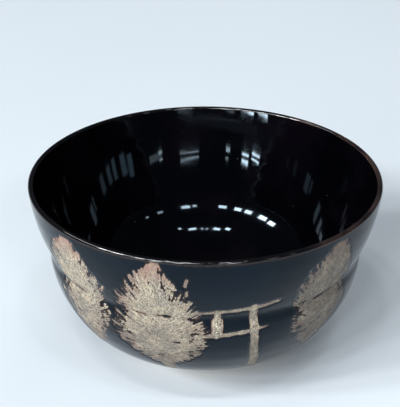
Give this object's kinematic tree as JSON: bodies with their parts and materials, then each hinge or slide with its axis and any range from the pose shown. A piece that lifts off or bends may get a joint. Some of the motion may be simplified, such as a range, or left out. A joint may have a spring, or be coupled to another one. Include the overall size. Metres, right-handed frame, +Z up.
{
  "type": "glazed stoneware bowl",
  "caption": "Deep round stoneware bowl on a low foot ring, black glazed inside and out, with brushed buff trees and a simple post-and-beam gate round the outside.",
  "frame": {"origin": "centre of the foot ring's underside, on the bowl's axis", "axes": "+Z up along the bowl's axis, -Y towards the side with the painted gate, +X to the right when that side is faced"},
  "size_m": [0.15, 0.15, 0.08],
  "materials": {
    "stoneware": "matte",
    "black_glaze": "gloss",
    "lip_glaze": "gloss",
    "buff_slip": "matte"
  },
  "bodies": {
    "root": {"stoneware_body": "stoneware", "foot_ring": "stoneware", "inner_glaze": "black_glaze", "outer_glaze": "black_glaze", "lip_glaze": "lip_glaze", "tree_centre": "buff_slip", "tree_left": "buff_slip", "tree_right": "buff_slip", "tree_back_right": "buff_slip", "tree_back_middle": "buff_slip", "tree_back_tall": "buff_slip", "tree_back_left": "buff_slip", "gate_lintel": "buff_slip", "gate_tie_beam": "buff_slip", "gate_strut": "buff_slip", "gate_post": "buff_slip", "brush_dabs": "buff_slip"}
  },
  "joints": []
}
